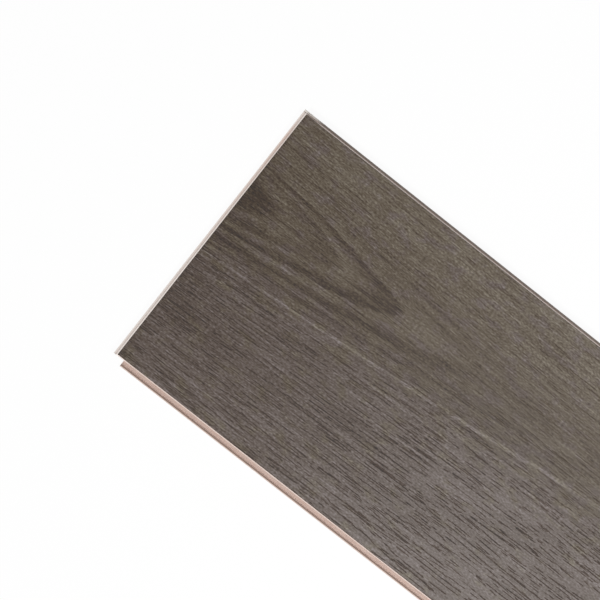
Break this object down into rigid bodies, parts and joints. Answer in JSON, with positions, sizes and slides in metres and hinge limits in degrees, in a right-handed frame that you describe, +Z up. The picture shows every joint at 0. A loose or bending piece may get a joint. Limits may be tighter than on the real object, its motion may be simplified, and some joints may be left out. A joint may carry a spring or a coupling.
{
  "type": "laminate floor plank",
  "caption": "Laminate floor plank with a dark oak wood-print face on a fibreboard core, bevelled edges, and click-lock tongues and grooves on its long edges and short ends.",
  "frame": {"origin": "centre of the plank's covering rectangle, on the underside", "axes": "+X along the plank from its short tongue end to its short groove end, +Y across it to the long tongue, +Z up through the decor"},
  "size_m": [1.3879, 0.1991, 0.008],
  "materials": {
    "fibreboard": "bare milled high-density fibreboard, pale pinkish tan",
    "oak_decor": "dark grey-brown oak print under a satin embossed wear layer"
  },
  "bodies": {
    "root": {"core_board": "fibreboard", "decor_layer": "oak_decor"}
  },
  "joints": []
}
